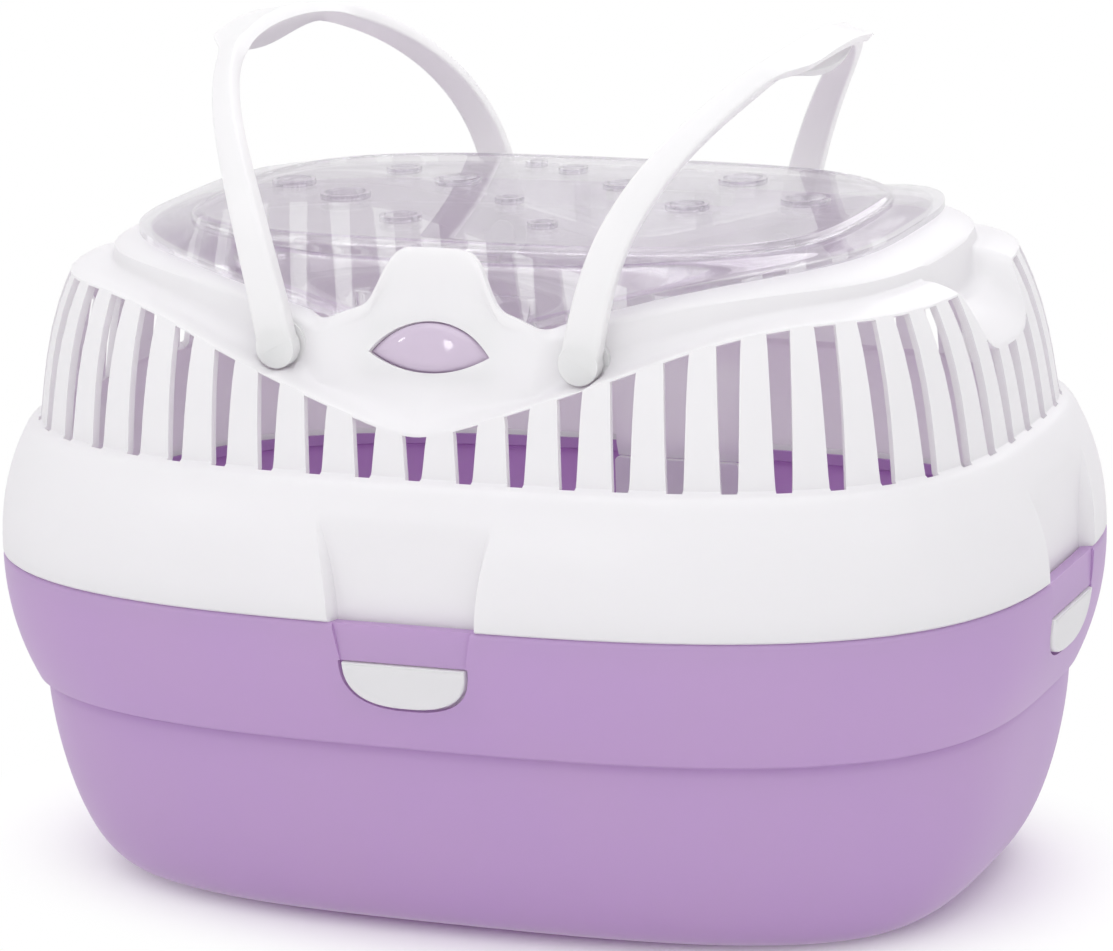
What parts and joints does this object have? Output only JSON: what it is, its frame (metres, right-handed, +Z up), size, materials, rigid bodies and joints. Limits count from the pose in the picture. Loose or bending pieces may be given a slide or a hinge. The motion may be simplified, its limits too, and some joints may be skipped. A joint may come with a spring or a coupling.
{
  "type": "pet carrier",
  "caption": "Small-animal carrier: an open tub under a slotted cover with a clear hinged lid, snap release buttons and two fold-down bail handles.",
  "frame": {"origin": "middle of the flat underside, on the surface it stands on", "axes": "+X along the length to the right seen from the front, -Y towards the front with the lid button, +Z up"},
  "size_m": [0.3014, 0.2108, 0.236],
  "materials": {
    "lilac": "gloss, slightly translucent",
    "white": "gloss",
    "clear": "clear gloss"
  },
  "bodies": {
    "tub": {"base_tub": "lilac"},
    "cover": {"cover": "white"},
    "lid": {"lid": "clear"},
    "lid_button": {"lid_button": "clear"},
    "handle_left": {"handle_left": "white"},
    "handle_right": {"handle_right": "white"},
    "button_front": {"button_front": "white"},
    "button_back": {"button_back": "white"},
    "button_left": {"button_left": "white"},
    "button_right": {"button_right": "white"}
  },
  "joints": [
    {"name": "cover_lift", "type": "slide", "parent": "tub", "child": "cover", "axis": [0, 0, 1], "range_m": [0, 0.06]},
    {"name": "lid_hinge", "type": "hinge", "parent": "cover", "child": "lid", "pos_m": [0, 0.0781, 0.1704], "axis": [-1, 0, 0], "range_deg": [0, 8]},
    {"name": "lid_button_press", "type": "slide", "parent": "cover", "child": "lid_button", "axis": [0, 0.9583, -0.2857], "range_m": [0, 0.002], "stiffness_N_per_m": 1500},
    {"name": "left_handle_swing", "type": "hinge", "parent": "cover", "child": "handle_left", "pos_m": [-0.0427, 0, 0.1594], "axis": [0, 1, 0], "range_deg": [-47, 53]},
    {"name": "right_handle_swing", "type": "hinge", "parent": "cover", "child": "handle_right", "pos_m": [0.0427, 0, 0.1594], "axis": [0, -1, 0], "range_deg": [-44, 55]},
    {"name": "front_button_press", "type": "slide", "parent": "tub", "child": "button_front", "axis": [0, 1, 0], "range_m": [0, 0.002], "stiffness_N_per_m": 2000},
    {"name": "back_button_press", "type": "slide", "parent": "tub", "child": "button_back", "axis": [0, -1, 0], "range_m": [0, 0.002], "stiffness_N_per_m": 2000},
    {"name": "left_button_press", "type": "slide", "parent": "tub", "child": "button_left", "axis": [1, 0, 0], "range_m": [0, 0.002], "stiffness_N_per_m": 2000},
    {"name": "right_button_press", "type": "slide", "parent": "tub", "child": "button_right", "axis": [-1, 0, 0], "range_m": [0, 0.002], "stiffness_N_per_m": 2000}
  ]
}
